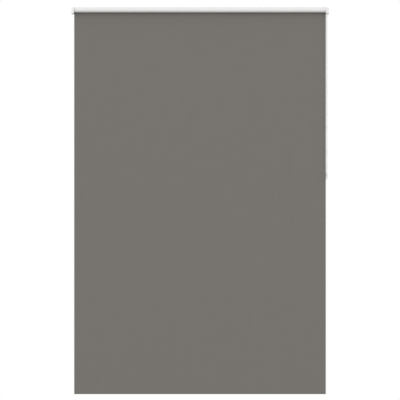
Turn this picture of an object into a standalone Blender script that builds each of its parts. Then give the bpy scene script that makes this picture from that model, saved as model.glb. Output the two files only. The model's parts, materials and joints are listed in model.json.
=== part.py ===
"""Exposed-roll, chain-operated roller blind for fixing to a wall.

Metres, +Z up. +X runs along the roller to the chain side and the wall is the plane y = 0, with
the blind on its -Y side. The origin is on the wall, midway between the brackets, at the height
of the roller's axis. The blind is modelled fully let down.
"""

import math

import bmesh
import bpy
from mathutils import Matrix, Vector

MM = 0.001
GAP = 0.3 * MM  # clearance that touching pieces keep

# Driving sizes of the whole blind
HALF_WIDTH = 500 * MM  # outer faces of the bracket covers
DROP_BELOW_AXIS = 1495.5 * MM
AXIS_Y = -24 * MM  # roller axis, out from the wall
ON_AXIS = (0, AXIS_Y, 0)

# Cloth
CLOTH_LEFT, CLOTH_RIGHT = -490.6 * MM, 489 * MM
CLOTH_T = 0.38 * MM
ROLL_R = 10.35 * MM  # outside of the layers left on the tube
ROLL_INNER_R = 9.8 * MM
PANEL_FRONT_Y = AXIS_Y + ROLL_R - 0.4 * MM
PANEL_TOP = -4 * MM
HEM_HEIGHT = 27 * MM

# Roller tube and what plugs into it
TUBE_LEFT, TUBE_RIGHT = -489.7 * MM, 488.7 * MM
TUBE_R, TUBE_BORE_R = 9 * MM, 8.1 * MM
TUBE_FIT_R = 7.8 * MM
FLANGE_R = 8.9 * MM
TAPE_R, TAPE_T, TAPE_HALF_ANGLE = 9.3 * MM, 0.2 * MM, math.radians(28)

# Brackets and their covers, as places measured outwards from the middle
COVER_TOP, COVER_BOTTOM = 10.8 * MM, -16.2 * MM
COVER_FRONT, COVER_BACK = -38 * MM, -1.8 * MM
COVER_WALL, COVER_FACE_WALL = 1.1 * MM, 1.0 * MM
COVER_ROUND = 4.5 * MM
IDLE_COVER_DEPTH, CONTROL_COVER_DEPTH = 9.1 * MM, 3.6 * MM
PLATE_OUT, PLATE_T = 497.6 * MM, 1.3 * MM
PLATE_TOP, PLATE_BOTTOM = 9 * MM, -14.4 * MM
PLATE_FRONT = -35.4 * MM
FOOT_INNER = 460 * MM
FOOT_HOLES, FOOT_HOLE_R, FOOT_HOLE_Z = (467 * MM, 483 * MM), 2.25 * MM, -2.7 * MM
SLOT_HALF = 3.3 * MM  # half width of the slot that the clutch's square drops into

# Chain and chain wheel
BEAD_R, BEAD_PITCH, POCKETS = 2.25 * MM, 6 * MM, 6
PITCH_R = BEAD_PITCH / (2 * math.sin(math.pi / POCKETS))
POCKET_R, LINK_R = 2.35 * MM, 0.55 * MM
CHAIN_X = 492.4 * MM
WHEEL_HALF, WHEEL_R = 2.7 * MM, 7.2 * MM
GROOVE_HALF, GROOVE_R = 0.9 * MM, 5.2 * MM
CHAMBER_R = 8.8 * MM  # inside of the guard, round the beads
GUARD_IN, GUARD_OUT = 489.3 * MM, 496.1 * MM
GUARD_WALL = 0.8 * MM
CONNECTOR_LENGTH, CONNECTOR_R, CONNECTOR_BORE_R = 14 * MM, 3.2 * MM, 2.55 * MM
CONNECTOR_BOTTOM = -649.5 * MM

# Clutch
CORE_R, CORE_BORE_R = 2.7 * MM, 3 * MM
SQUARE_HALF, HEAD_T = 3 * MM, 0.7 * MM
CORE_END = 455 * MM
CLIP_IN, CLIP_T, CLIP_R = 456.6 * MM, 0.8 * MM, 5 * MM
SLEEVE_IN, SLEEVE_R, SLEEVE_T = 463 * MM, 4.3 * MM, 1 * MM
HUB_IN, HUB_OUT, HUB_FLANGE_T = 458 * MM, 488.95 * MM, 0.5 * MM
HUB_BORE_R, HUB_R, HUB_RIBS, RIB_T = 5.6 * MM, 6.8 * MM, 8, 1.4 * MM
BRAKE_SPRING_R, BRAKE_WIRE_R, BRAKE_END_R = 3.48 * MM, 0.4 * MM, 4.9 * MM
BRAKE_SPRINGS = {"brake_spring_inner": 466 * MM, "brake_spring_outer": 478 * MM}
BRAKE_TURNS, BRAKE_PITCH = 7, 1.2 * MM

# Sprung idle pin, as places measured outwards from the middle
PIN_R, PIN_COLLAR_R = 2 * MM, 3.7 * MM
PIN_TIP, PIN_TAIL = 498 * MM, 452 * MM
COLLAR_OUT, COLLAR_IN = 485.7 * MM, 484.2 * MM
PLUG_OUT, PLUG_IN, PLUG_BORE_R = 491 * MM, 456 * MM, 4 * MM
SEAT_OUT, SEAT_IN = 462.7 * MM, 460 * MM
PIN_HOLE_R = 2.35 * MM
BUSH_R, BUSH_FLANGE_R = 3.9 * MM, 5.6 * MM
PIN_SPRING_R, PIN_WIRE_R, PIN_SPRING_TURNS = 3 * MM, 0.35 * MM, 7

# Bottom bar, inside the hem
BAR_HEIGHT, BAR_T, BAR_WALL, BAR_ROUND = 18 * MM, 3.4 * MM, 0.7 * MM, 1 * MM
BAR_END_GAP = 3 * MM
BAR_FRONT_Y = PANEL_FRONT_Y + CLOTH_T + GAP
BAR_BOTTOM = -DROP_BELOW_AXIS + CLOTH_T + 0.4 * MM

# The front strand of the chain, from the guard to the bottom of the loop, chosen by hand:
# (distance in front of the axis, height below the axis). The rear strand mirrors it.
CHAIN_ROUTE = [
    (0.00600, 0.0076), (0.00626, 0.060), (0.00678, 0.160), (0.00730, 0.260), (0.00781, 0.360),
    (0.00833, 0.460), (0.00885, 0.560), (0.00916, 0.620), (0.00930, 0.6484), (0.00805, 0.65305),
    (0.00465, 0.65645), (0.0, 0.6577),
]
CHAIN_STEP = 27 * MM  # longest stretch of the chain's plain cord


def clear_scene():
    for obj in list(bpy.data.objects):
        bpy.data.objects.remove(obj, do_unlink=True)


def material(name, colour, roughness, metallic=0.0):
    look = bpy.data.materials.new(name)
    look.use_nodes = True
    shader = look.node_tree.nodes["Principled BSDF"]
    shader.inputs["Base Color"].default_value = (*colour, 1)
    shader.inputs["Roughness"].default_value = roughness
    shader.inputs["Metallic"].default_value = metallic
    return look


def add(name, bm, look=None, at=(0, 0, 0)):
    """Turns a bmesh into an object. Without a look it is a cutter, which isn't rendered."""
    bmesh.ops.recalc_face_normals(bm, faces=bm.faces)
    mesh = bpy.data.meshes.new(name)
    bm.to_mesh(mesh)
    bm.free()
    obj = bpy.data.objects.new(name, mesh)
    bpy.context.collection.objects.link(obj)
    obj.location = at
    if look is None:
        obj.hide_render = True
        obj.display_type = "WIRE"
    else:
        mesh.materials.append(look)
        mesh.shade_smooth()
        mesh.set_sharp_from_angle(angle=math.radians(35))
    return obj


def boolean(obj, other, operation="DIFFERENCE"):
    modifier = obj.modifiers.new(other.name, "BOOLEAN")
    modifier.operation = operation
    modifier.object = other
    modifier.solver = "EXACT"


def turned(profile, side=1, steps=48):
    """A closed (x, radius) outline spun about the X axis. side -1 mirrors it to the idle end."""
    bm = bmesh.new()
    ring = [bm.verts.new((side * x, 0, r)) for x, r in profile]
    edges = [bm.edges.new((a, b)) for a, b in zip(ring, ring[1:] + ring[:1])]
    bmesh.ops.spin(
        bm, geom=ring + edges, axis=(1, 0, 0), cent=(0, 0, 0), angle=math.tau, steps=steps, use_merge=True
    )
    bmesh.ops.remove_doubles(bm, verts=bm.verts, dist=1e-6)
    bmesh.ops.dissolve_degenerate(bm, edges=bm.edges, dist=1e-6)
    return bm


def prism(outline, low, high, place):
    """An outline of (u, v) points pushed from low to high. place(u, v, w) gives each point."""
    bm = bmesh.new()
    face = bm.faces.new([bm.verts.new(place(u, v, low)) for u, v in outline])
    moved = bmesh.ops.extrude_face_region(bm, geom=[face])["geom"]
    step = Vector(place(0, 0, high)) - Vector(place(0, 0, low))
    bmesh.ops.translate(bm, verts=[v for v in moved if isinstance(v, bmesh.types.BMVert)], vec=step)
    return bm


def along_x(u, v, w):
    return (w, u, v)


def along_z(u, v, w):
    return (u, v, w)


def box(low, high):
    bm = bmesh.new()
    bmesh.ops.create_cube(bm, size=1)
    size = [b - a for a, b in zip(low, high)]
    middle = [(a + b) / 2 for a, b in zip(low, high)]
    bmesh.ops.transform(bm, matrix=Matrix.Translation(middle) @ Matrix.Diagonal((*size, 1)), verts=bm.verts)
    return bm


def rounded(y0, y1, z0, z1, front, back=None, steps=5):
    """A rectangle in (y, z) whose corners at y0 are rounded by front, and those at y1 by back."""
    back = front if back is None else back
    corners = [
        (y0 + front, z0 + front, front, 2), (y1 - back, z0 + back, back, 3),
        (y1 - back, z1 - back, back, 0), (y0 + front, z1 - front, front, 1),
    ]
    points = []
    for y, z, radius, quarter in corners:
        for k in range(steps + 1):
            turn = (quarter + k / steps) * math.pi / 2
            points.append((y + radius * math.cos(turn), z + radius * math.sin(turn)))
    return points


def bevel_edges(bm, wanted, width, segments):
    edges = [e for e in bm.edges if wanted(e.verts[0].co, e.verts[1].co)]
    bmesh.ops.bevel(
        bm, geom=edges, offset=width, segments=segments, profile=0.5, affect="EDGES", material=-1
    )


def sleeve(outer, inner, low, high):
    """A tube along X between two (y, z) outlines that have the same number of points."""
    bm = bmesh.new()
    rows = [[bm.verts.new((x, y, z)) for y, z in line] for x in (low, high) for line in (outer, inner)]
    out_low, in_low, out_high, in_high = rows
    count = len(outer)
    for k in range(count):
        n = (k + 1) % count
        bm.faces.new((out_low[k], out_low[n], out_high[n], out_high[k]))
        bm.faces.new((in_low[k], in_high[k], in_high[n], in_low[n]))
        bm.faces.new((out_low[k], in_low[k], in_low[n], out_low[n]))
        bm.faces.new((out_high[k], out_high[n], in_high[n], in_high[k]))
    return bm


def wire(name, points, radius, look, resolution, at=(0, 0, 0)):
    """A round wire or cord through the points, with closed ends."""
    curve = bpy.data.curves.new(name, "CURVE")
    curve.dimensions = "3D"
    curve.bevel_depth = radius
    curve.bevel_resolution = resolution
    curve.use_fill_caps = True
    spline = curve.splines.new("POLY")
    spline.points.add(len(points) - 1)
    for slot, point in zip(spline.points, points):
        slot.co = (*point, 1)
    curve.materials.append(look)
    obj = bpy.data.objects.new(name, curve)
    bpy.context.collection.objects.link(obj)
    obj.location = at
    return obj


def helix(start, pitch, turns, radius, steps, first_angle=0.0):
    """Points of a coil along X. Angles turn from +Z towards -Y."""
    count = round(turns * steps)
    points = []
    for k in range(count + 1):
        angle = first_angle + math.tau * k / steps
        points.append((start + pitch * k / steps, -radius * math.sin(angle), radius * math.cos(angle)))
    return points


# Fixed ends


def bracket(name, side, look):
    """A bent steel plate: its side stands beside the roller and its foot lies on the wall behind it."""
    side_in = PLATE_OUT - PLATE_T
    outline = [
        (PLATE_OUT, PLATE_FRONT), (PLATE_OUT, 0), (FOOT_INNER, 0),
        (FOOT_INNER, -PLATE_T), (side_in, -PLATE_T), (side_in, PLATE_FRONT),
    ]
    outline = [(side * x, y) for x, y in outline]
    bm = prism(outline, PLATE_BOTTOM, PLATE_TOP, along_z)
    small = 0.1 * MM

    def near(a, b, axis, value):
        return abs(a[axis] - value) < small and abs(b[axis] - value) < small

    def across(a, b, axis):
        return abs(a[axis] - b[axis]) > small

    bevel_edges(bm, lambda a, b: near(a, b, 1, PLATE_FRONT) and across(a, b, 0), 4 * MM, 4)
    bevel_edges(bm, lambda a, b: near(a, b, 0, side * FOOT_INNER) and across(a, b, 1), 3 * MM, 4)
    bevel_edges(
        bm, lambda a, b: near(a, b, 0, side * PLATE_OUT) and near(a, b, 1, 0) and across(a, b, 2), 1.2 * MM, 3
    )
    obj = add(name, bm, look)
    for number, x in enumerate(FOOT_HOLES):
        drill = bmesh.new()
        bmesh.ops.create_cone(
            drill, cap_ends=True, segments=24, radius1=FOOT_HOLE_R, radius2=FOOT_HOLE_R, depth=10 * MM
        )
        turn = Matrix.Translation((side * x, 0, FOOT_HOLE_Z)) @ Matrix.Rotation(math.pi / 2, 4, "X")
        bmesh.ops.transform(drill, matrix=turn, verts=drill.verts)
        boolean(obj, add(f"{name}_hole_{number}", drill))
    return obj


def bracket_idle(look):
    obj = bracket("bracket_idle", -1, look)
    radius = BUSH_R + GAP
    drill = turned([(490 * MM, 0), (502 * MM, 0), (502 * MM, radius), (490 * MM, radius)], -1, 32)
    boolean(obj, add("bush_hole", drill, at=ON_AXIS))


def bracket_control(look):
    obj = bracket("bracket_control", 1, look)
    low = (490 * MM, AXIS_Y - SLOT_HALF, -SLOT_HALF)
    high = (505 * MM, AXIS_Y + SLOT_HALF, PLATE_TOP + 5 * MM)
    boolean(obj, add("clutch_slot", box(low, high)))


def bracket_cover(name, side, depth, look):
    """A shallow white tray, open towards the roller and towards the wall."""
    outline = rounded(COVER_FRONT, COVER_BACK, COVER_BOTTOM, COVER_TOP, COVER_ROUND, 1 * MM)
    bm = prism(outline, side * (HALF_WIDTH - depth), side * HALF_WIDTH, along_x)
    face = side * HALF_WIDTH
    bevel_edges(bm, lambda a, b: abs(a.x - face) < GAP and abs(b.x - face) < GAP, 0.8 * MM, 3)
    obj = add(name, bm, look)
    inner = rounded(
        COVER_FRONT + COVER_WALL, COVER_BACK + 5 * MM, COVER_BOTTOM + COVER_WALL, COVER_TOP - COVER_WALL,
        COVER_ROUND - COVER_WALL, 1 * MM,
    )
    mouth, floor = HALF_WIDTH - depth - 5 * MM, HALF_WIDTH - COVER_FACE_WALL
    hollow = prism(inner, side * mouth, side * floor, along_x)
    boolean(obj, add(name + "_hollow", hollow))


def idle_bush(look):
    profile = [
        (PIN_TIP, PIN_HOLE_R), (495 * MM, PIN_HOLE_R), (495 * MM, BUSH_FLANGE_R),
        (496 * MM, BUSH_FLANGE_R), (496 * MM, BUSH_R), (PIN_TIP, BUSH_R),
    ]
    add("idle_bush", turned(profile, -1, 32), look, ON_AXIS)


# Roller


def roller_tube(look):
    profile = [(TUBE_LEFT, TUBE_BORE_R), (TUBE_RIGHT, TUBE_BORE_R), (TUBE_RIGHT, TUBE_R), (TUBE_LEFT, TUBE_R)]
    add("roller_tube", turned(profile, steps=64), look, ON_AXIS)


def bonding_tape(look):
    """The adhesive strip along the tube that the cloth's first turn is stuck to."""
    steps = 6
    angles = [TAPE_HALF_ANGLE * (2 * k / steps - 1) for k in range(steps + 1)]
    inner = [(-TAPE_R * math.sin(a), TAPE_R * math.cos(a)) for a in angles]
    radius = TAPE_R + TAPE_T
    outer = [(-radius * math.sin(a), radius * math.cos(a)) for a in reversed(angles)]
    bm = prism(inner + outer, CLOTH_LEFT + 1 * MM, CLOTH_RIGHT - 1 * MM, along_x)
    add("bonding_tape", bm, look, ON_AXIS)


def fabric_roll(look):
    profile = [
        (CLOTH_LEFT, ROLL_INNER_R), (CLOTH_RIGHT, ROLL_INNER_R), (CLOTH_RIGHT, ROLL_R), (CLOTH_LEFT, ROLL_R)
    ]
    add("fabric_roll", turned(profile, steps=64), look, ON_AXIS)


def idle_plug(look):
    profile = [
        (PLUG_OUT, PIN_HOLE_R), (COLLAR_OUT + GAP, PIN_HOLE_R), (COLLAR_OUT + GAP, PLUG_BORE_R),
        (PLUG_IN, PLUG_BORE_R), (PLUG_IN, TUBE_FIT_R), (PLUG_OUT - 1 * MM, TUBE_FIT_R),
        (PLUG_OUT - 1 * MM, FLANGE_R), (PLUG_OUT, FLANGE_R),
    ]
    add("idle_plug", turned(profile, -1), look, ON_AXIS)


def idle_pin(look):
    """The pin's collar rests on the plug's end wall and the spring pushes on the collar's back."""
    tip = 0.6 * MM
    profile = [
        (PIN_TIP, 0), (PIN_TIP, PIN_R - tip), (PIN_TIP - tip, PIN_R), (COLLAR_OUT, PIN_R),
        (COLLAR_OUT, PIN_COLLAR_R), (COLLAR_IN, PIN_COLLAR_R), (COLLAR_IN, PIN_R),
        (PIN_TAIL, PIN_R), (PIN_TAIL, 0),
    ]
    add("idle_pin", turned(profile, -1, 24), look, ON_AXIS)


def idle_spring(look):
    start, end = SEAT_OUT + GAP + PIN_WIRE_R, COLLAR_IN - GAP - PIN_WIRE_R
    coil = helix(-end, (end - start) / PIN_SPRING_TURNS, PIN_SPRING_TURNS, PIN_SPRING_R, 12)
    wire("idle_spring", coil, PIN_WIRE_R, look, 1, ON_AXIS)


def spring_seat(look):
    radius = PLUG_BORE_R - GAP
    profile = [(SEAT_IN, PIN_HOLE_R), (SEAT_OUT, PIN_HOLE_R), (SEAT_OUT, radius), (SEAT_IN, radius)]
    add("spring_seat", turned(profile, -1, 24), look, ON_AXIS)


# Clutch


def clutch_core(look):
    """The fixed axle. Its square sits in the bracket's slot, held between the head and the guard."""
    wall_in = GUARD_OUT - GUARD_WALL
    round_end, overlap = wall_in - 0.05 * MM, 0.05 * MM
    profile = [(CORE_END, 0), (CORE_END, CORE_R), (round_end, CORE_R), (round_end, 0)]
    obj = add("clutch_core", turned(profile, steps=32), look, ON_AXIS)
    half, head_half, head_in = SQUARE_HALF, SQUARE_HALF + 2 * MM, PLATE_OUT + GAP
    square = box((round_end - overlap, -half, -half), (head_in + overlap, half, half))
    head = box((head_in, -head_half, -head_half), (head_in + HEAD_T, head_half, head_half))
    boolean(obj, add("core_square", square, at=ON_AXIS), "UNION")
    boolean(obj, add("core_head", head, at=ON_AXIS), "UNION")


def core_clip(look):
    """A push-on washer that keeps the hub on the core."""
    low, high = CLIP_IN, CLIP_IN + CLIP_T
    profile = [(low, CORE_BORE_R), (high, CORE_BORE_R), (high, CLIP_R), (low, CLIP_R)]
    add("core_clip", turned(profile, steps=32), look, ON_AXIS)


def bead_place(k):
    """Where bead k sits on the wheel. Bead 0 leaves at the front and the count runs over the top."""
    turn = math.pi / 2 - math.tau * k / POCKETS
    return Matrix.Rotation(turn, 4, "X") @ Matrix.Translation((CHAIN_X, 0, PITCH_R))


def chain_wheel(look):
    """A wheel with a pocket for each bead, and a sleeve that turns the brake springs by their ends."""
    web_in, web_out = CHAIN_X - WHEEL_HALF, CHAIN_X + WHEEL_HALF
    groove_in, groove_out = CHAIN_X - GROOVE_HALF, CHAIN_X + GROOVE_HALF
    profile = [
        (SLEEVE_IN, SLEEVE_R), (web_in, SLEEVE_R), (web_in, CORE_BORE_R), (web_out, CORE_BORE_R),
        (web_out, WHEEL_R), (groove_out, WHEEL_R), (groove_out, GROOVE_R), (groove_in, GROOVE_R),
        (groove_in, WHEEL_R), (web_in, WHEEL_R), (web_in, SLEEVE_R + SLEEVE_T),
        (SLEEVE_IN, SLEEVE_R + SLEEVE_T),
    ]
    obj = add("chain_wheel", turned(profile), look, ON_AXIS)
    pockets = bmesh.new()
    for k in range(POCKETS):
        bmesh.ops.create_uvsphere(
            pockets, u_segments=14, v_segments=8, radius=POCKET_R, matrix=bead_place(k)
        )
    boolean(obj, add("bead_pockets", pockets, at=ON_AXIS))
    reach = 8 * MM
    wedge = prism([(0, 0), (reach, reach), (-reach, reach)], SLEEVE_IN - 1 * MM, web_in - 0.4 * MM, along_x)
    boolean(obj, add("sleeve_window", wedge, at=ON_AXIS))


def brake_spring(name, start, look):
    """A wrap spring: it grips the core until the wheel's sleeve pushes one of its bent ends."""
    end_angle = math.radians(26)
    coil = helix(start, BRAKE_PITCH, BRAKE_TURNS + end_angle / math.pi, BRAKE_SPRING_R, 12, -end_angle)
    first, last = coil[0], coil[-1]
    reach = BRAKE_END_R / BRAKE_SPRING_R
    ends = [(x, y * reach, z * reach) for x, y, z in (first, last)]
    wire(name, [ends[0], *coil, ends[1]], BRAKE_WIRE_R, look, 1, ON_AXIS)


def drive_hub(look):
    """The plug that drives the tube. Its key stands in the sleeve's window, between the spring ends."""
    profile = [
        (HUB_IN, CORE_BORE_R), (HUB_IN + 3 * MM, CORE_BORE_R), (HUB_IN + 3 * MM, HUB_BORE_R),
        (HUB_OUT + HUB_FLANGE_T, HUB_BORE_R), (HUB_OUT + HUB_FLANGE_T, FLANGE_R), (HUB_OUT, FLANGE_R),
        (HUB_OUT, HUB_R), (HUB_IN, HUB_R),
    ]
    obj = add("drive_hub", turned(profile), look, ON_AXIS)
    key = box((464 * MM, -1.1 * MM, SLEEVE_R + 0.2 * MM), (486 * MM, 1.1 * MM, HUB_BORE_R + 0.6 * MM))
    boolean(obj, add("hub_key", key, at=ON_AXIS), "UNION")
    ribs = bmesh.new()
    length, height = HUB_OUT - HUB_IN - 1 * MM, TUBE_FIT_R - HUB_R + 0.5 * MM
    middle = Matrix.Translation(((HUB_IN + HUB_OUT) / 2, 0, TUBE_FIT_R - height / 2))
    size = Matrix.Diagonal((length, RIB_T, height, 1))
    for k in range(HUB_RIBS):
        turn = Matrix.Rotation(math.tau * k / HUB_RIBS, 4, "X")
        bmesh.ops.create_cube(ribs, size=1, matrix=turn @ middle @ size)
    boolean(obj, add("hub_ribs", ribs, at=ON_AXIS), "UNION")


def chain_guard(look):
    """The white housing round the chain wheel, open towards the roller and below each strand."""
    outline = rounded(COVER_FRONT, COVER_BACK, COVER_BOTTOM, COVER_TOP, COVER_ROUND, 1 * MM)
    obj = add("chain_guard", prism(outline, GUARD_IN, GUARD_OUT, along_x), look)
    wall_in = GUARD_OUT - GUARD_WALL
    before = GUARD_IN - 2 * MM
    chamber = turned([(before, 0), (wall_in, 0), (wall_in, CHAMBER_R), (before, CHAMBER_R)], steps=64)
    boolean(obj, add("wheel_chamber", chamber, at=ON_AXIS))
    recess_r, recess_x = FLANGE_R + GAP, HUB_OUT + HUB_FLANGE_T + GAP
    recess = turned([(before, 0), (recess_x, 0), (recess_x, recess_r), (before, recess_r)], steps=64)
    boolean(obj, add("flange_recess", recess, at=ON_AXIS))
    slot_in, slot_out = PITCH_R - 2.7 * MM, PITCH_R + 2.7 * MM
    for name, low, high in (("front_slot", -slot_out, -slot_in), ("rear_slot", slot_in, slot_out)):
        cut = box((before, low, COVER_BOTTOM - 3 * MM), (wall_in, high, 0))
        boolean(obj, add(name, cut, at=ON_AXIS))
    square = box((wall_in - 1 * MM, -SLOT_HALF, -SLOT_HALF), (GUARD_OUT + 1 * MM, SLOT_HALF, SLOT_HALF))
    boolean(obj, add("core_hole", square, at=ON_AXIS))
    rib = 1.4 * MM
    corner = (before, AXIS_Y + CHAMBER_R + 1.6 * MM, COVER_BOTTOM + rib)
    pocket = box(corner, (wall_in, COVER_BACK - rib, COVER_TOP - rib))
    boolean(obj, add("guard_pocket", pocket))


# Chain


def chain_on_wheel(look):
    """The half turn of chain that lies over the wheel: its beads on their link wire."""
    beads = bmesh.new()
    for k in range(POCKETS // 2 + 1):
        bmesh.ops.create_uvsphere(beads, u_segments=12, v_segments=8, radius=BEAD_R, matrix=bead_place(k))
    obj = add("chain_on_wheel", beads, look, ON_AXIS)
    link = bmesh.new()
    start = bead_place(POCKETS // 2) @ Matrix.Rotation(math.pi / 2, 4, "X")
    bmesh.ops.create_circle(link, cap_ends=True, segments=8, radius=LINK_R, matrix=start)
    bmesh.ops.spin(
        link, geom=link.faces[:], axis=(1, 0, 0), cent=(0, 0, 0), angle=math.pi, steps=18, use_merge=False
    )
    boolean(obj, add("link_wire", link, at=ON_AXIS), "UNION")


def chain_line():
    """Points of the whole loop, on a smooth curve through the route and its mirror image."""
    front = [Vector((CHAIN_X, AXIS_Y - y, -z)) for y, z in CHAIN_ROUTE]
    rear = [Vector((CHAIN_X, AXIS_Y + y, -z)) for y, z in reversed(CHAIN_ROUTE[:-1])]
    route = front + rear
    line = []
    for k in range(len(route) - 1):
        a, b = route[k], route[k + 1]
        before, after = route[max(k - 1, 0)], route[min(k + 2, len(route) - 1)]
        span = (b - a).length
        lean_a = (b - before) * (span / ((a - before).length + span))
        lean_b = (after - a) * (span / ((after - b).length + span))
        steps = max(3, round(span / CHAIN_STEP))
        for step in range(steps):
            t = step / steps
            line.append(
                (2 * t**3 - 3 * t**2 + 1) * a + (t**3 - 2 * t**2 + t) * lean_a
                + (3 * t**2 - 2 * t**3) * b + (t**3 - t**2) * lean_b
            )
    return [*line, route[-1]]


def bead_chain(look):
    """The hanging loop, as a plain cord of the beads' diameter."""
    wire("bead_chain", chain_line(), BEAD_R, look, 2)


def chain_connector(look):
    """The sleeve that joins the chain's two ends, on the rear strand just above the loop's bend."""
    low, high = -CONNECTOR_BOTTOM, -CONNECTOR_BOTTOM - CONNECTOR_LENGTH
    (y_a, z_a), (y_b, z_b) = CHAIN_ROUTE[-6], CHAIN_ROUTE[-4]
    slope = (y_b - y_a) / (z_b - z_a)
    offset = y_a + (low - z_a) * slope
    edge = 0.6 * MM
    profile = [
        (CONNECTOR_BORE_R, 0), (CONNECTOR_R - edge, 0), (CONNECTOR_R, edge),
        (CONNECTOR_R, low - high - edge), (CONNECTOR_R - edge, low - high), (CONNECTOR_BORE_R, low - high),
    ]
    bm = bmesh.new()
    ring = [bm.verts.new((r, 0, z)) for r, z in profile]
    edges = [bm.edges.new((a, b)) for a, b in zip(ring, ring[1:] + ring[:1])]
    bmesh.ops.spin(
        bm, geom=ring + edges, axis=(0, 0, 1), cent=(0, 0, 0), angle=math.tau, steps=24, use_merge=True
    )
    obj = add("chain_connector", bm, look, (CHAIN_X, AXIS_Y + offset, CONNECTOR_BOTTOM))
    obj.rotation_euler = (math.atan(slope), 0, 0)


# Cloth and bottom bar


def fabric_panel(look):
    hem_top = -DROP_BELOW_AXIS + HEM_HEIGHT + GAP
    low = (CLOTH_LEFT, PANEL_FRONT_Y, hem_top)
    high = (CLOTH_RIGHT, PANEL_FRONT_Y + CLOTH_T, PANEL_TOP)
    add("fabric_panel", box(low, high), look)


def hem_pocket(look):
    """The cloth turned up behind itself round the bar and welded to itself above it."""
    front, bottom, top = PANEL_FRONT_Y, -DROP_BELOW_AXIS, -DROP_BELOW_AXIS + HEM_HEIGHT
    back = BAR_FRONT_Y + BAR_T + GAP + CLOTH_T
    bar_top = BAR_BOTTOM + BAR_HEIGHT
    outer = [
        (front, top), (front, bottom + 1.2 * MM), (front + 1.2 * MM, bottom), (back - 1.4 * MM, bottom),
        (back, bottom + 1.4 * MM), (back, bar_top + 0.3 * MM), (front + 2 * CLOTH_T, top - 3 * MM),
        (front + 2 * CLOTH_T, top),
    ]
    inner = [
        (front + CLOTH_T, top - 4 * MM), (front + CLOTH_T, bottom + 1.3 * MM),
        (front + 1.3 * MM, bottom + CLOTH_T), (back - 1.5 * MM, bottom + CLOTH_T),
        (back - CLOTH_T, bottom + 1.5 * MM), (back - CLOTH_T, bar_top + 0.25 * MM),
        (front + CLOTH_T + 0.2 * MM, top - 3.9 * MM), (front + CLOTH_T + 0.1 * MM, top - 3.9 * MM),
    ]
    add("hem_pocket", sleeve(outer, inner, CLOTH_LEFT, CLOTH_RIGHT), look)


def bar_outline(inset):
    y, z = BAR_FRONT_Y, BAR_BOTTOM
    return rounded(y + inset, y + BAR_T - inset, z + inset, z + BAR_HEIGHT - inset, BAR_ROUND - inset, steps=3)


def bottom_bar(look):
    low, high = CLOTH_LEFT + BAR_END_GAP, CLOTH_RIGHT - BAR_END_GAP
    add("bottom_bar", sleeve(bar_outline(0), bar_outline(BAR_WALL), low, high), look)


def bar_cap(name, end, side, look):
    """A plastic plug: its plate closes the hem's end and its tongue sits in the hollow bar."""
    outer = end - side * 0.2 * MM
    inner = end - side * (BAR_END_GAP - GAP)
    obj = add(name, prism(bar_outline(0), inner, outer, along_x), look)
    tongue = prism(bar_outline(BAR_WALL + GAP), inner - side * 9 * MM, inner + side * 1 * MM, along_x)
    boolean(obj, add(name + "_tongue", tongue), "UNION")


def main():
    clear_scene()
    steel = material("galvanised_steel", (0.6, 0.61, 0.62), 0.4, 1.0)
    spring_steel = material("spring_steel", (0.35, 0.36, 0.38), 0.3, 1.0)
    white = material("white_plastic", (0.86, 0.86, 0.85), 0.35)
    grey = material("grey_plastic", (0.3, 0.3, 0.31), 0.5)
    natural = material("natural_nylon", (0.8, 0.78, 0.7), 0.45)
    aluminium = material("aluminium", (0.77, 0.78, 0.8), 0.35, 1.0)
    cloth = material("grey_cloth", (0.18, 0.17, 0.155), 0.9)
    coating = material("white_coating", (0.8, 0.8, 0.78), 0.8)
    tape = material("adhesive_tape", (0.85, 0.83, 0.75), 0.6)
    bead = material("white_beads", (0.84, 0.84, 0.83), 0.3)
    frosted = material("frosted_plastic", (0.66, 0.66, 0.65), 0.4)

    bracket_idle(steel)
    bracket_control(steel)
    bracket_cover("cover_idle", -1, IDLE_COVER_DEPTH, white)
    bracket_cover("cover_control", 1, CONTROL_COVER_DEPTH, white)
    idle_bush(natural)
    roller_tube(aluminium)
    bonding_tape(tape)
    fabric_roll(coating)
    idle_plug(grey)
    idle_pin(steel)
    idle_spring(spring_steel)
    spring_seat(natural)
    clutch_core(natural)
    core_clip(spring_steel)
    chain_wheel(white)
    for name, start in BRAKE_SPRINGS.items():
        brake_spring(name, start, spring_steel)
    drive_hub(grey)
    chain_guard(white)
    chain_on_wheel(bead)
    bead_chain(bead)
    chain_connector(frosted)
    fabric_panel(cloth)
    hem_pocket(cloth)
    bottom_bar(aluminium)
    bar_cap("bar_cap_left", CLOTH_LEFT, -1, grey)
    bar_cap("bar_cap_right", CLOTH_RIGHT, 1, grey)


main()
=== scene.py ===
"""Looks of the roller blind: cloth, roll, hem, bead chain, end covers and every finish."""

import json
import math

import bmesh
import bpy
from mathutils import Matrix, Vector


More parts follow.
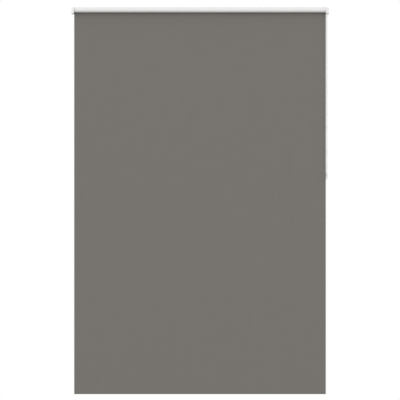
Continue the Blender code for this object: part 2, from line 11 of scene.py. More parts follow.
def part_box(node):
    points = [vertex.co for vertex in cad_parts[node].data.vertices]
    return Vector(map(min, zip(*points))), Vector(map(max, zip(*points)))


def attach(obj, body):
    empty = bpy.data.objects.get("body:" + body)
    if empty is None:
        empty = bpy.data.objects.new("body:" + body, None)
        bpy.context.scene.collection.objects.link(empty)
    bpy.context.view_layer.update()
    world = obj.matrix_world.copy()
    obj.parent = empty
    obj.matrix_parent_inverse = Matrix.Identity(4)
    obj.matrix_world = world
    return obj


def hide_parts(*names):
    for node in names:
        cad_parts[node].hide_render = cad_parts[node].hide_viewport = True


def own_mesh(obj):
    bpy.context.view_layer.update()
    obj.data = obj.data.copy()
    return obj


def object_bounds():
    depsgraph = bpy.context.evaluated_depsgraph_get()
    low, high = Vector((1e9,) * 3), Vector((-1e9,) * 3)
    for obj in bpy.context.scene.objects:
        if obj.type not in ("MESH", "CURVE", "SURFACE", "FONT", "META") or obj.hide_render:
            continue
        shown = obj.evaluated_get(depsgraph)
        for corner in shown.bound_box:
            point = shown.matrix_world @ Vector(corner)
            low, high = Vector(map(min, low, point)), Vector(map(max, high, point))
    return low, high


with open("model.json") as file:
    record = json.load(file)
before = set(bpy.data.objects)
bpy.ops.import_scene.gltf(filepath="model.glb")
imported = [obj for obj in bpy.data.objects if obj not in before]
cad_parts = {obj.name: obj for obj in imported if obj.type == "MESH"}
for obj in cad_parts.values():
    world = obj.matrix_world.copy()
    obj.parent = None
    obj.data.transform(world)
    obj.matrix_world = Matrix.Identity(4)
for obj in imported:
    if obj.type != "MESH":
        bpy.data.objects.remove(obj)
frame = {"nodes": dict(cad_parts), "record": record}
CAD_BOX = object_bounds()

MM = 0.001

# Places taken from the frame
ROLL_LOW, ROLL_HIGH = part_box("fabric_roll")
PANEL_LOW, PANEL_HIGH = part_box("fabric_panel")
HEM_LOW, HEM_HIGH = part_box("hem_pocket")
TUBE_LOW, TUBE_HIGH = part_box("roller_tube")
BAR_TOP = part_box("bottom_bar")[1].z
GUARD_LOW, GUARD_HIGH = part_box("chain_guard")
CLIP_LOW, CLIP_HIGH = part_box("chain_connector")
SPRING_LOW, SPRING_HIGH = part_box("idle_spring")
AXIS_Y = (ROLL_LOW.y + ROLL_HIGH.y) / 2
ROLL_R = (ROLL_HIGH.z - ROLL_LOW.z) / 2
TUBE_R = (TUBE_HIGH.z - TUBE_LOW.z) / 2
CLOTH_T = PANEL_HIGH.y - PANEL_LOW.y

# Bead chain
BEAD_R, BEAD_PITCH, POCKETS = 2.25 * MM, 6 * MM, 6
PITCH_R = BEAD_PITCH / (2 * math.sin(math.pi / POCKETS))
THREAD_R = 0.6 * MM
CHAIN_X = (CLIP_LOW.x + CLIP_HIGH.x) / 2

# The front strand of the chain, from the guard to the bottom of the loop, listed:
# (distance in front of the axis, height below the axis). The rear strand mirrors it.
CHAIN_ROUTE = [
    (0.00600, 0.0076), (0.00626, 0.060), (0.00678, 0.160), (0.00730, 0.260), (0.00781, 0.360),
    (0.00833, 0.460), (0.00885, 0.560), (0.00916, 0.620), (0.00930, 0.6484), (0.00805, 0.65305),
    (0.00465, 0.65645), (0.0, 0.6577),
]
CHAIN_STEP = 9 * MM

# Guard and covers
COVER_ROUND, COVER_BACK_ROUND = 4.5 * MM, 1 * MM
COVER_WALL, COVER_FACE_WALL = 1.1 * MM, 1 * MM
GUARD_WALL, CHAMBER_R = 0.8 * MM, 8.8 * MM
RECESS_R, RECESS_DEPTH = 9.2 * MM, 0.45 * MM
STRAND_SLOT, SQUARE_HOLE = 2.7 * MM, 3.3 * MM  # half widths


# Making things


def linear(code):
    """An sRGB hex colour as the linear values that shaders take."""
    values = [int(code[k : k + 2], 16) / 255 for k in (1, 3, 5)]
    return (*(v / 12.92 if v <= 0.04045 else ((v + 0.055) / 1.055) ** 2.4 for v in values), 1.0)


def put(tree, kind, inputs=None, **settings):
    """Adds a node. inputs gives each socket a value, or the output that feeds it."""
    made = tree.nodes.new(kind)
    for key, value in settings.items():
        setattr(made, key, value)
    for key, value in (inputs or {}).items():
        if isinstance(value, bpy.types.NodeSocket):
            tree.links.new(value, made.inputs[key])
        else:
            made.inputs[key].default_value = value
    return made


def new_look(name, **principled):
    """A material whose Principled shader has these values on its own sockets."""
    look = bpy.data.materials.new(name)
    look.use_nodes = True
    shader = look.node_tree.nodes["Principled BSDF"]
    for key, value in principled.items():
        shader.inputs[key.replace("_", " ")].default_value = value
    return look, look.node_tree, shader


def place_mesh(name, bm, looks, smooth=35, outward=True):
    """A finished mesh as an object at the origin, with its doubles merged and its faces outwards."""
    bmesh.ops.remove_doubles(bm, verts=bm.verts, dist=1e-6)
    if outward:
        bmesh.ops.recalc_face_normals(bm, faces=bm.faces)
    mesh = bpy.data.meshes.new(name)
    bm.to_mesh(mesh)
    bm.free()
    for look in looks:
        mesh.materials.append(look)
    mesh.shade_smooth()
    mesh.set_sharp_from_angle(angle=math.radians(smooth))
    obj = bpy.data.objects.new(name, mesh)
    bpy.context.collection.objects.link(obj)
    return obj


def stand_for(obj, body, slot, *nodes):
    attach(obj, body)
    if nodes:
        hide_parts(*nodes)
    return obj


def with_modifier(obj, kind, **settings):
    """Runs a modifier and keeps its result as the object's own mesh."""
    modifier = obj.modifiers.new(kind.title(), kind)
    for key, value in settings.items():
        setattr(modifier, key, value)
    graph = bpy.context.evaluated_depsgraph_get()
    made = bpy.data.meshes.new_from_object(obj.evaluated_get(graph))
    obj.modifiers.clear()
    obj.data = made
    return obj


def sided(obj, seen_from):
    """Turns a strip's faces so that the one nearest to a place looks at it."""
    place = Vector(seen_from)
    nearest = min(obj.data.polygons, key=lambda face: (face.center - place).length)
    if nearest.normal.dot(place - nearest.center) < 0:
        obj.data.flip_normals()


def thicken(obj):
    """Gives a strip the cloth's thickness. Its far side and its cut edges take the second look."""
    with_modifier(obj, "SOLIDIFY", thickness=CLOTH_T, offset=0, material_offset=1, material_offset_rim=1)
    obj.data.set_sharp_from_angle(angle=math.radians(50))


def cut(obj, bm):
    """Takes a closed shape away from obj."""
    tool = place_mesh("tool", bm, [])
    with_modifier(obj, "BOOLEAN", object=tool, operation="DIFFERENCE", solver="EXACT")
    bpy.data.objects.remove(tool, do_unlink=True)


def block(low, high):
    bm = bmesh.new()
    size, middle = Vector(high) - Vector(low), (Vector(high) + Vector(low)) / 2
    bmesh.ops.create_cube(bm, size=1, matrix=Matrix.Translation(middle) @ Matrix.Diagonal((*size, 1)))
    return bm


def disc(x0, x1, radius):
    """A round block on the roller's axis."""
    bm = bmesh.new()
    place = Matrix.Translation(((x0 + x1) / 2, AXIS_Y, 0)) @ Matrix.Rotation(math.pi / 2, 4, "Y")
    bmesh.ops.create_cone(
        bm, cap_ends=True, segments=64, radius1=radius, radius2=radius, depth=x1 - x0, matrix=place
    )
    return bm


def bevel(bm, edges, width, segments=3):
    bmesh.ops.bevel(
        bm, geom=list(edges), offset=width, segments=segments, profile=0.5, affect="EDGES", material=-1
    )


def drawn(points, vec):
    """A line of points drawn out by vec into a strip of faces."""
    bm = bmesh.new()
    verts = [bm.verts.new(p) for p in points]
    edges = [bm.edges.new(pair) for pair in zip(verts, verts[1:])]
    made = bmesh.ops.extrude_edge_only(bm, edges=edges)["geom"]
    bmesh.ops.translate(bm, verts=[v for v in made if isinstance(v, bmesh.types.BMVert)], vec=vec)
    return bm


def arc(centre, radius, start, end, steps):
    """Points in the (y, z) plane round centre, from one angle to another."""
    y, z = centre
    turns = [start + (end - start) * k / steps for k in range(steps + 1)]
    return [(y + radius * math.cos(a), z + radius * math.sin(a)) for a in turns]


# Camera first, then the cords


def aim_camera():
    """A long lens, level with the blind's middle, so that it is seen flat on."""
    low, high = CAD_BOX
    data = bpy.data.cameras.new("camera")
    data.lens, data.sensor_width = 300, 36
    shown = 1.5555  # height and width of the view at the cloth, in metres
    cloth_y = -0.03
    nudge_x, nudge_z = -0.8 * MM, 2.7 * MM
    distance = shown / 2 / (data.sensor_width / 2 / data.lens)
    data.clip_end = 100
    camera = bpy.data.objects.new("camera", data)
    bpy.context.collection.objects.link(camera)
    middle_x, middle_z = (low.x + high.x) / 2, (low.z + high.z) / 2
    camera.location = (middle_x + nudge_x, cloth_y - distance, middle_z + nudge_z)
    camera.rotation_euler = (math.pi / 2, 0, 0)
    bpy.context.scene.camera = camera


def chain_line():
    """Points of the hanging loop, on a smooth curve through the route and its mirror image."""
    front = [Vector((CHAIN_X, AXIS_Y - y, -z)) for y, z in CHAIN_ROUTE]
    rear = [Vector((CHAIN_X, AXIS_Y + y, -z)) for y, z in reversed(CHAIN_ROUTE[:-1])]
    route = front + rear
    line = []
    for k in range(len(route) - 1):
        a, b = route[k], route[k + 1]
        before, after = route[max(k - 1, 0)], route[min(k + 2, len(route) - 1)]
        span = (b - a).length
        lean_a = (b - before) * (span / ((a - before).length + span))
        lean_b = (after - a) * (span / ((after - b).length + span))
        steps = max(4, round(span / CHAIN_STEP))
        for step in range(steps):
            t = step / steps
            line.append(
                (2 * t**3 - 3 * t**2 + 1) * a + (t**3 - 2 * t**2 + t) * lean_a
                + (3 * t**2 - 2 * t**3) * b + (t**3 - t**2) * lean_b
            )
    return [*line, route[-1]]


def along(line, count):
    """count + 1 places spread evenly along a line of points, ends included."""
    spans = [(b - a).length for a, b in zip(line, line[1:])]
    step = sum(spans) / count
    places, k, passed = [line[0]], 0, 0.0
    for n in range(1, count):
        while passed + spans[k] < n * step:
            passed += spans[k]
            k += 1
        places.append(line[k].lerp(line[k + 1], (n * step - passed) / spans[k]))
    return [*places, line[-1]]


def add_bead(bm, place):
    bmesh.ops.create_uvsphere(
        bm, u_segments=10, v_segments=7, radius=BEAD_R, matrix=Matrix.Translation(place)
    )


def add_wire(bm, points, radius, resolution):
    """A round wire or thread through the points, with closed ends."""
    curve = bpy.data.curves.new("wire", "CURVE")
    curve.dimensions = "3D"
    curve.bevel_depth, curve.bevel_resolution, curve.use_fill_caps = radius, resolution, True
    spline = curve.splines.new("POLY")
    spline.points.add(len(points) - 1)
    for slot, point in zip(spline.points, points):
        slot.co = (*point, 1)
    guide = bpy.data.objects.new("wire", curve)
    bpy.context.collection.objects.link(guide)
    graph = bpy.context.evaluated_depsgraph_get()
    bm.from_mesh(bpy.data.meshes.new_from_object(guide.evaluated_get(graph)))
    bpy.data.objects.remove(guide, do_unlink=True)


def beaded_loop(look):
    """The hanging loop: beads 6 mm apart on their thread, from the wheel's front to its rear.

    Its highest beads hang two pitches below the axis, so that the beads on the wheel turn clear of them.
    """
    line = chain_line()
    bm = bmesh.new()
    add_wire(bm, line, THREAD_R, 1)
    first, last = line[0].copy(), line[-1].copy()
    first.z = last.z = -2 * BEAD_PITCH
    beaded = [first, *line[1:-1], last]
    beaded_length = sum((b - a).length for a, b in zip(beaded, beaded[1:]))
    for place in along(beaded, round(beaded_length / BEAD_PITCH)):
        add_bead(bm, place)
    obj = place_mesh("beaded_loop", bm, [look], smooth=60)
    return obj


def wheel_beads(look):
    """The beads in the wheel's upper pockets, on their thread."""
    bm = bmesh.new()
    half, steps = POCKETS // 2, 24
    turns = [math.pi * k / steps for k in range(steps + 1)]
    over = [Vector((CHAIN_X, AXIS_Y - PITCH_R * math.cos(a), PITCH_R * math.sin(a))) for a in turns]
    tail = Vector((0, 0, -BEAD_PITCH / 2))
    add_wire(bm, [over[0] + tail, *over, over[-1] + tail], THREAD_R, 1)
    for k in range(half + 1):
        add_bead(bm, over[k * steps // half])
    return place_mesh("wheel_beads", bm, [look], smooth=60)


def chain_joiner(look):
    """A snap sleeve round the chain's two end beads: slit along one side, with two round ways in."""
    radius, bore = (CLIP_HIGH.x - CLIP_LOW.x) / 2, 2.5 * MM
    middle = (CLIP_LOW + CLIP_HIGH) / 2
    length = CLIP_HIGH.z - CLIP_LOW.z
    soft, waist = 0.8 * MM, 0.35 * MM
    outer = [(radius - soft, 0)]
    outer += [(r, z) for r, z in arc((radius - soft, soft), soft, -math.pi / 2, 0, 5)[1:]]
    outer += [(radius - waist, length * 0.42), (radius - waist, length * 0.58)]
    outer += [(r, z) for r, z in arc((radius - soft, length - soft), soft, 0, math.pi / 2, 5)]
    profile = [(bore, 0.3 * MM), *outer, (bore, length - 0.3 * MM)]
    bm = bmesh.new()
    verts = [bm.verts.new((middle.x + r, middle.y, CLIP_LOW.z + z)) for r, z in profile]
    edges = [bm.edges.new(pair) for pair in zip(verts, verts[1:] + verts[:1])]
    bmesh.ops.spin(
        bm, geom=verts + edges, axis=(0, 0, 1), cent=(middle.x, middle.y, 0), angle=math.tau, steps=36,
        use_merge=True,
    )
    obj = place_mesh("chain_joiner", bm, [look], smooth=40)
    slit, end = 0.6 * MM, 1.4 * MM
    cut(obj, block(
        (middle.x, middle.y - slit, CLIP_LOW.z + end),
        (middle.x + 2 * radius, middle.y + slit, CLIP_HIGH.z - end),
    ))
    for share in (0.3, 0.7):
        hole = bmesh.new()
        turn = Matrix.Translation((middle.x + radius, middle.y, CLIP_LOW.z + share * length))
        bmesh.ops.create_cone(
            hole, cap_ends=True, segments=24, radius1=2.0 * MM, radius2=2.0 * MM, depth=radius,
            matrix=turn @ Matrix.Rotation(math.pi / 2, 4, "Y"),
        )
        cut(obj, hole)
    return obj


def pin_spring(look):
    """The coil behind the idle pin."""
    wire_r = 0.35 * MM
    coil_r = (SPRING_HIGH.z - SPRING_LOW.z) / 2 - wire_r
    start, end = SPRING_LOW.x + wire_r, SPRING_HIGH.x - wire_r
    turns, steps = 9, 24
    lead = 2 * wire_r  # the two end turns are closed, a wire's width each
    points = []
    for k in range(turns * steps + 1):
        n = k / steps
        if n < 1:
            x = start + lead * n
        elif n > turns - 1:
            x = end - lead * (turns - n)
        else:
            x = start + lead + (end - start - 2 * lead) * (n - 1) / (turns - 2)
        points.append((x, AXIS_Y - coil_r * math.sin(math.tau * n), coil_r * math.cos(math.tau * n)))
    bm = bmesh.new()
    add_wire(bm, points, wire_r, 3)
    obj = place_mesh("pin_spring", bm, [look], smooth=60)
    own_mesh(obj)
    return obj


# Cloth


def wound_cloth(back, front):
    """The turns left on the tube: one strip of cloth, wound with its coated back outwards."""
    pitch = CLOTH_T + 0.03 * MM
    inner_r = TUBE_R + 0.1 * MM
    outer_r = ROLL_R - CLOTH_T / 2
    turns = (outer_r - inner_r - CLOTH_T / 2) / pitch
    per_turn = 72
    points = []
    for k in range(round(turns * per_turn) + 1):
        angle = math.tau * k / per_turn
        radius = outer_r - pitch * k / per_turn
        points.append((ROLL_LOW.x, AXIS_Y + radius * math.cos(angle), radius * math.sin(angle)))
    strip = drawn(points, (ROLL_HIGH.x - ROLL_LOW.x, 0, 0))
    obj = place_mesh("wound_cloth", strip, [back, front], smooth=60, outward=False)
    sided(obj, (0, 1, 0))
    thicken(obj)
    return obj


def cloth_panel(front, back):
    """The hanging cloth. The bar draws it flat, with a slow wave of under a millimetre."""
    bm = bmesh.new()
    width, top = PANEL_HIGH.x - PANEL_LOW.x, 0.0
    height = top - HEM_HIGH.z
    bmesh.ops.create_grid(bm, x_segments=66, y_segments=98, size=0.5)
    middle_y = (PANEL_LOW.y + PANEL_HIGH.y) / 2
    for v in bm.verts:
        s, t = v.co.x + 0.5, v.co.y + 0.5
        hold = max(math.sin(math.pi * t), 0) ** 0.7
        wave = 0.35 * math.sin(math.tau * (1.6 * s + 0.35 * t))
        wave += 0.2 * math.sin(math.tau * (3.7 * s - 0.6 * t))
        curl = 0.9 * abs(2 * s - 1) ** 24
        v.co = (PANEL_LOW.x + s * width, middle_y + hold * (wave + curl) * MM, top - height * (1 - t))
    obj = place_mesh("cloth_panel", bm, [front, back], smooth=60, outward=False)
    sided(obj, (0, -1, -height / 2))
    thicken(obj)
    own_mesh(obj)
    return obj, height


def hem_sleeve(front, back):
    """The cloth folded up behind itself round the bar, welded above it. Its grey face stays outside."""
    half = CLOTH_T / 2
    y_front, y_back = HEM_LOW.y + half, HEM_HIGH.y - half
    bottom, top = HEM_LOW.z + half, HEM_HIGH.z
    r_front, r_back, hold = 1.5 * MM, 1.7 * MM, 0.15 * MM
    y_flap = y_front + CLOTH_T
    line = [(y_front, top), (y_front, top - 8 * MM), (y_front, bottom + r_front + hold)]
    line += arc((y_front + r_front, bottom + r_front), r_front, math.pi, 1.5 * math.pi, 8)
    line += arc((y_back - r_back, bottom + r_back), r_back, 1.5 * math.pi, math.tau, 8)
    line += arc((y_back - 1.2 * MM, BAR_TOP - 0.4 * MM), 1.2 * MM, 0, math.radians(55), 5)
    line += [(y_flap + 0.35 * MM, top - 4.6 * MM), (y_flap + 0.1 * MM, top - 4 * MM)]
    line += [(y_flap, top - 3.4 * MM), (y_flap, top - 1.8 * MM), (y_flap + 0.06 * MM, top - 1.2 * MM)]
    line += [(y_flap + 0.06 * MM, top)]
    strip = drawn([(HEM_LOW.x, y, z) for y, z in line], (HEM_HIGH.x - HEM_LOW.x, 0, 0))
    obj = place_mesh("hem_sleeve", strip, [front, back], smooth=60, outward=False)
    sided(obj, (0, -1, bottom + 10 * MM))
    thicken(obj)
    return obj


# End covers and guard


def rounded_box(low, high, corner_front, corner_back):
    """A box whose edges along X are rounded: those at its front by one radius, at its back by another."""
    bm = block(low, high)
    length = high[0] - low[0]

    def runs_along_x(edge, y):
        a, b = (v.co for v in edge.verts)
        return abs(a.x - b.x) > length / 2 and abs(a.y - y) < 1e-6

    bevel(bm, [e for e in bm.edges if runs_along_x(e, low[1])], corner_front, 8)
    bevel(bm, [e for e in bm.edges if runs_along_x(e, high[1])], corner_back, 3)
    return bm


def soften(obj, width):
    """Rounds off every crisp edge by a little, as a mould does."""
    with_modifier(
        obj, "BEVEL", width=width, segments=2, limit_method="ANGLE", angle_limit=math.radians(50),
        use_clamp_overlap=True,
    )
    obj.data.shade_smooth()
    obj.data.set_sharp_from_angle(angle=math.radians(40))


def end_cover(name, node, side, look):
    """A moulded white tray, open to the roller and to the wall, with a sunk panel on its face."""
    low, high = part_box(node)
    bm = rounded_box(low, high, COVER_ROUND, COVER_BACK_ROUND)
    face_x = high.x if side > 0 else low.x
    rim = [e for e in bm.edges if all(abs(v.co.x - face_x) < 1e-6 for v in e.verts)]
    bevel(bm, rim, 0.8 * MM, 4)
    obj = place_mesh(name, bm, [look], smooth=40)
    reach = 5 * MM
    inside = sorted((face_x - side * COVER_FACE_WALL, (low.x if side > 0 else high.x) - side * reach))
    cut(obj, rounded_box(
        (inside[0], low.y + COVER_WALL, low.z + COVER_WALL), (inside[1], high.y + reach, high.z - COVER_WALL),
        COVER_ROUND - COVER_WALL, 1 * MM,
    ))
    sunk, margin = 0.3 * MM, 3.2 * MM
    panel = sorted((face_x - side * sunk, face_x + side * reach))
    cut(obj, rounded_box(
        (panel[0], low.y + margin, low.z + margin), (panel[1], high.y - margin, high.z - margin),
        2.4 * MM, 1.6 * MM,
    ))
    soften(obj, 0.15 * MM)
    return stand_for(obj, "frame", "white_plastic", node)


def guard_housing(look):
    """The housing round the chain wheel, with a way down for each strand and a hole for the square."""
    low, high = GUARD_LOW, GUARD_HIGH
    housing = rounded_box(low, high, COVER_ROUND, COVER_BACK_ROUND)
    obj = place_mesh("guard_housing", housing, [look], smooth=40)
    before, wall_in = low.x - 2 * MM, high.x - GUARD_WALL
    cut(obj, disc(before, wall_in, CHAMBER_R))
    cut(obj, disc(before, low.x + RECESS_DEPTH, RECESS_R))
    for side in (-1, 1):
        y = AXIS_Y + side * PITCH_R
        cut(obj, block((before, y - STRAND_SLOT, low.z - 3 * MM), (wall_in, y + STRAND_SLOT, 0)))
    cut(obj, block(
        (wall_in - 1 * MM, AXIS_Y - SQUARE_HOLE, -SQUARE_HOLE),
        (high.x + 1 * MM, AXIS_Y + SQUARE_HOLE, SQUARE_HOLE),
    ))
    rib = 1.4 * MM
    cut(obj, block(
        (before, AXIS_Y + CHAMBER_R + 1.6 * MM, low.z + rib), (wall_in, high.y - rib, high.z - rib)
    ))
    soften(obj, 0.15 * MM)
    return stand_for(obj, "frame", "white_plastic", "chain_guard")


def main():
    aim_camera()
    looks = make_looks()
    clip = stand_for(chain_joiner(looks["frosted"]), "frame", "frosted_plastic", "chain_connector")
    stand_for(beaded_loop(looks["beads"]), "frame", "bead_plastic", "bead_chain")
    stand_for(wheel_beads(looks["beads"]), "wheel", "bead_plastic", "chain_on_wheel")
    stand_for(pin_spring(looks["spring"]), "roll", "spring_steel", "idle_spring")

    roll = stand_for(wound_cloth(looks["coating"], looks["cloth"]), "roll", "cloth_coating", "fabric_roll")
    hem = stand_for(hem_sleeve(looks["cloth"], looks["coating"]), "bottom_rail", "blind_cloth", "hem_pocket")
    panel, height = cloth_panel(looks["cloth"], looks["coating"])
    stand_for(panel, "frame", "blind_cloth", "fabric_panel")
    end_cover("end_cover_idle", "cover_idle", -1, looks["white"])
    end_cover("end_cover_control", "cover_control", 1, looks["white"])
    guard_housing(looks["white"])
    dress_cad_nodes(looks)
    studio()


# Finishes


def pattern_space(tree, scale=(1, 1, 1)):
    """Object coordinates, stretched by scale. They are in metres, so a scale of 1000 is one per mm."""
    place = put(tree, "ShaderNodeTexCoord").outputs["Object"]
    return put(tree, "ShaderNodeMapping", {"Vector": place, "Scale": scale}).outputs["Vector"]


def noise(tree, scale, stretch=(1, 1, 1), detail=3.0):
    space = pattern_space(tree, stretch)
    return put(tree, "ShaderNodeTexNoise", {"Vector": space, "Scale": scale, "Detail": detail}).outputs["Fac"]


def blend_colours(tree, share, first, second):
    node = put(tree, "ShaderNodeMix", {0: share, 6: linear(first), 7: linear(second)}, data_type="RGBA")
    return node.outputs[2]


def spread(tree, value, low, high):
    """Maps a noise that mostly lies between 0.3 and 0.7 to low and high."""
    return put(
        tree, "ShaderNodeMapRange", {"Value": value, 1: 0.3, 2: 0.7, 3: low, 4: high}
    ).outputs["Result"]


def bump(tree, shader, height, distance, strength=1.0):
    made = put(tree, "ShaderNodeBump", {"Height": height, "Distance": distance, "Strength": strength})
    tree.links.new(made.outputs["Normal"], shader.inputs["Normal"])


def woven_polyester():
    """Plain-weave polyester, matt, with slightly uneven yarns, drawn 0.5 mm apart."""
    look, tree, shader = new_look("woven_polyester", Roughness=0.92, IOR=1.45, Sheen_Weight=0.04)
    shader.inputs["Specular IOR Level"].default_value = 0.25
    yarn = math.tau / (0.5 * MM)
    place = put(tree, "ShaderNodeTexCoord").outputs["Object"]
    parts = put(tree, "ShaderNodeSeparateXYZ", {"Vector": place})
    waves = []
    for axis in ("X", "Z"):
        turns = put(tree, "ShaderNodeMath", {0: parts.outputs[axis], 1: yarn / 2}, operation="MULTIPLY")
        waves.append(put(tree, "ShaderNodeMath", {0: turns.outputs[0]}, operation="SINE").outputs[0])
    weave = put(tree, "ShaderNodeMath", {0: waves[0], 1: waves[1]}, operation="MULTIPLY").outputs[0]
    slub_x = noise(tree, 40, (0.3, 1, 14))
    slub_z = noise(tree, 40, (14, 1, 0.3))
    both = put(tree, "ShaderNodeMath", {0: slub_x, 1: slub_z}, operation="ADD").outputs[0]
    uneven = put(
        tree, "ShaderNodeMapRange", {"Value": both, 1: 0.7, 2: 1.3, 3: 0.0, 4: 1.0}
    ).outputs["Result"]
    yarns = blend_colours(tree, uneven, "#797672", "#7D7A75")
    gaps = put(
        tree, "ShaderNodeMapRange", {"Value": weave, 1: -1.0, 2: 1.0, 3: 0.0, 4: 0.12}
    ).outputs["Result"]
    mix = put(tree, "ShaderNodeMix", {0: gaps, 6: yarns, 7: linear("#696661")}, data_type="RGBA")
    tree.links.new(mix.outputs[2], shader.inputs["Base Color"])
    bump(tree, shader, weave, 0.05 * MM, 0.5)
    return look


def foam_coating():
    """White acrylic foam coating knife-spread on the cloth's back: matt, with a fine leathery grain."""
    look, tree, shader = new_look("foam_coating", Roughness=0.7, IOR=1.45)
    grain = noise(tree, 900)
    tint = blend_colours(tree, spread(tree, noise(tree, 30), 0, 1), "#EBECEB", "#EFEFED")
    tree.links.new(tint, shader.inputs["Base Color"])
    bump(tree, shader, grain, 0.04 * MM, 0.4)
    return look


def moulded_abs():
    """White moulded ABS with a satin spark-eroded grain of about 0.4 mm."""
    look, tree, shader = new_look("white_moulded_abs", IOR=1.53)
    grain = noise(tree, 2400, detail=2.0)
    tint = blend_colours(tree, spread(tree, noise(tree, 60), 0, 1), "#F2F3F2", "#F6F6F5")
    tree.links.new(tint, shader.inputs["Base Color"])
    tree.links.new(spread(tree, grain, 0.32, 0.4), shader.inputs["Roughness"])
    bump(tree, shader, grain, 0.02 * MM, 0.35)
    return look


def bead_plastic():
    """White acetal beads moulded on a polyester thread: smooth and slightly translucent."""
    look, tree, shader = new_look("white_acetal_beads", IOR=1.48, Roughness=0.28, Subsurface_Weight=0.2)
    shader.inputs["Subsurface Radius"].default_value = (0.002, 0.002, 0.002)
    tint = blend_colours(tree, spread(tree, noise(tree, 400), 0, 1), "#F0F0EF", "#F7F7F5")
    tree.links.new(tint, shader.inputs["Base Color"])
    bump(tree, shader, noise(tree, 1800), 0.01 * MM, 0.3)
    return look


def frosted_plastic():
    """Frosted polycarbonate clip: light grey, cloudy, with a soft gloss."""
    look, tree, shader = new_look("frosted_polycarbonate", IOR=1.58, Subsurface_Weight=0.3)
    shader.inputs["Subsurface Radius"].default_value = (0.003, 0.003, 0.003)
    cloud = noise(tree, 220)
    tint = blend_colours(tree, spread(tree, cloud, 0, 1), "#CFD0CF", "#DADBDA")
    tree.links.new(tint, shader.inputs["Base Color"])
    tree.links.new(spread(tree, noise(tree, 1500), 0.38, 0.5), shader.inputs["Roughness"])
    bump(tree, shader, noise(tree, 2600), 0.015 * MM, 0.3)
    return look


def nylon(name, first, second):
    """Moulded nylon: semi-matt and faintly mottled."""
    look, tree, shader = new_look(name, IOR=1.53)
    tint = blend_colours(tree, spread(tree, noise(tree, 150), 0, 1), first, second)
    tree.links.new(tint, shader.inputs["Base Color"])
    tree.links.new(spread(tree, noise(tree, 700), 0.42, 0.55), shader.inputs["Roughness"])
    bump(tree, shader, noise(tree, 2200), 0.015 * MM, 0.3)
    return look


def zinc_steel():
    """Pressed steel with a clear zinc plating: bright grey with a faint cloudy bloom."""
    look, tree, shader = new_look("zinc_plated_steel", Metallic=1.0)
    bloom = noise(tree, 90, detail=5.0)
    tint = blend_colours(tree, spread(tree, bloom, 0, 1), "#B4B8BC", "#C8CBCD")
    tree.links.new(tint, shader.inputs["Base Color"])
    tree.links.new(spread(tree, bloom, 0.3, 0.46), shader.inputs["Roughness"])
    bump(tree, shader, noise(tree, 1600, (1, 1, 0.2)), 0.01 * MM, 0.4)
    return look


def drawn_metal(name, first, second, low, high, along):
    """Drawn or extruded metal, with fine die lines that run along the piece."""
    look, tree, shader = new_look(name, Metallic=1.0)
    lines = noise(tree, 1500, along, detail=2.0)
    tree.links.new(blend_colours(tree, spread(tree, lines, 0, 1), first, second), shader.inputs["Base Color"])
    tree.links.new(spread(tree, lines, low, high), shader.inputs["Roughness"])
    bump(tree, shader, lines, 0.01 * MM, 0.4)
    return look


def tape_look():
    """Double-sided tissue tape: cream, with a dull shine."""
    look, tree, shader = new_look("tissue_tape", IOR=1.47, Roughness=0.4)
    fibres = noise(tree, 600, (0.2, 1, 1))
    tint = blend_colours(tree, spread(tree, fibres, 0, 1), "#E4DFCB", "#EFEBDB")
    tree.links.new(tint, shader.inputs["Base Color"])
    bump(tree, shader, fibres, 0.01 * MM, 0.4)
    return look


def make_looks():
    along_x = (0.01, 1, 1)
    return {
        "cloth": woven_polyester(), "coating": foam_coating(), "white": moulded_abs(),
        "beads": bead_plastic(), "frosted": frosted_plastic(), "steel": zinc_steel(),
        "natural": nylon("natural_nylon", "#DDD8C6", "#E6E2D3"),
        "grey": nylon("grey_nylon", "#6E6F70", "#7A7B7C"),
        "tube": drawn_metal("extruded_aluminium", "#C9CBCE", "#D6D8DA", 0.28, 0.4, along_x),
        "spring": drawn_metal("spring_steel", "#8A8D91", "#A3A6A9", 0.2, 0.32, (1, 1, 1)),
        "tape": tape_look(),
    }


SLOT_LOOKS = {
    "bracket_steel": "steel", "spring_steel": "spring", "tube_aluminium": "tube", "white_plastic": "white",
    "bead_plastic": "beads", "frosted_plastic": "frosted", "grey_plastic": "grey",
    "natural_nylon": "natural", "blind_cloth": "cloth", "cloth_coating": "coating", "adhesive_tape": "tape",
}


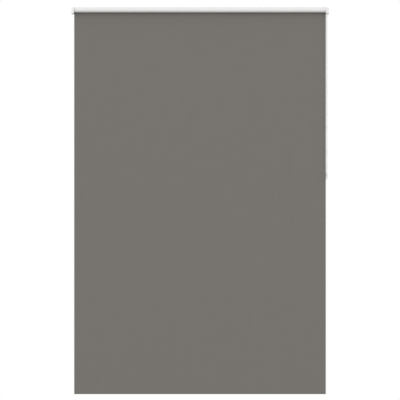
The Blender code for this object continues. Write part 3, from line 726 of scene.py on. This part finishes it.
def dress_cad_nodes(looks):
    """Every CAD node takes the finish of its slot in the record."""
    for part in frame["record"]["subparts"]:
        obj = frame["nodes"][part["node"]]
        obj.data.materials.clear()
        obj.data.materials.append(looks[SLOT_LOOKS[part["material_slot"]]])


# Studio


def area_light(name, at, towards, size, power):
    data = bpy.data.lights.new(name, "AREA")
    data.shape, data.size, data.energy = "SQUARE", size, power
    light = bpy.data.objects.new(name, data)
    bpy.context.collection.objects.link(light)
    light.location = at
    light.visible_camera = False
    light.rotation_euler = (Vector(towards) - Vector(at)).to_track_quat("-Z", "Y").to_euler()


def studio():
    """A white surround that lights softly from in front and above, and a pale floor below the blind."""
    world = bpy.data.worlds.new("surround")
    world.use_nodes = True
    tree = world.node_tree
    back = tree.nodes["Background"]
    back.inputs["Color"].default_value = (1, 1, 1, 1)
    # An even light, more of it from the front and top, and never less than a faint glow
    even, towards, faint = 0.31, (0, -0.85, 0.45), 0.12
    way = put(tree, "ShaderNodeTexCoord").outputs["Generated"]
    slope = put(tree, "ShaderNodeVectorMath", {0: way, 1: towards}, operation="DOT_PRODUCT")
    level = put(tree, "ShaderNodeMath", {0: slope.outputs["Value"], 1: even}, operation="ADD").outputs[0]
    light = put(tree, "ShaderNodeMath", {0: level, 1: faint}, operation="MAXIMUM").outputs[0]
    seen = put(tree, "ShaderNodeLightPath").outputs["Is Camera Ray"]
    strength = put(tree, "ShaderNodeMix", {0: seen, 2: light, 3: 1.0}).outputs[0]
    tree.links.new(strength, back.inputs["Strength"])
    bpy.context.scene.world = world
    bpy.context.scene.view_settings.view_transform = "Standard"

    floor = bmesh.new()
    bmesh.ops.create_grid(floor, x_segments=1, y_segments=1, size=1.9)
    bmesh.ops.translate(floor, verts=floor.verts, vec=(0, -0.1, -1.75))
    pale, tree, shader = new_look("pale_floor", Roughness=0.8)
    shader.inputs["Base Color"].default_value = linear("#E9E9E7")
    ground = place_mesh("floor", floor, [pale])
    ground.visible_diffuse = False  # the blind isn't lit from below
    area_light("key", (0.5, -5.5, 3.0), (0, 0, -0.7), 4.0, 25)
    area_light("back_fill", (-0.5, 3.5, 1.2), (0, 0, -0.7), 3.0, 150)


main()
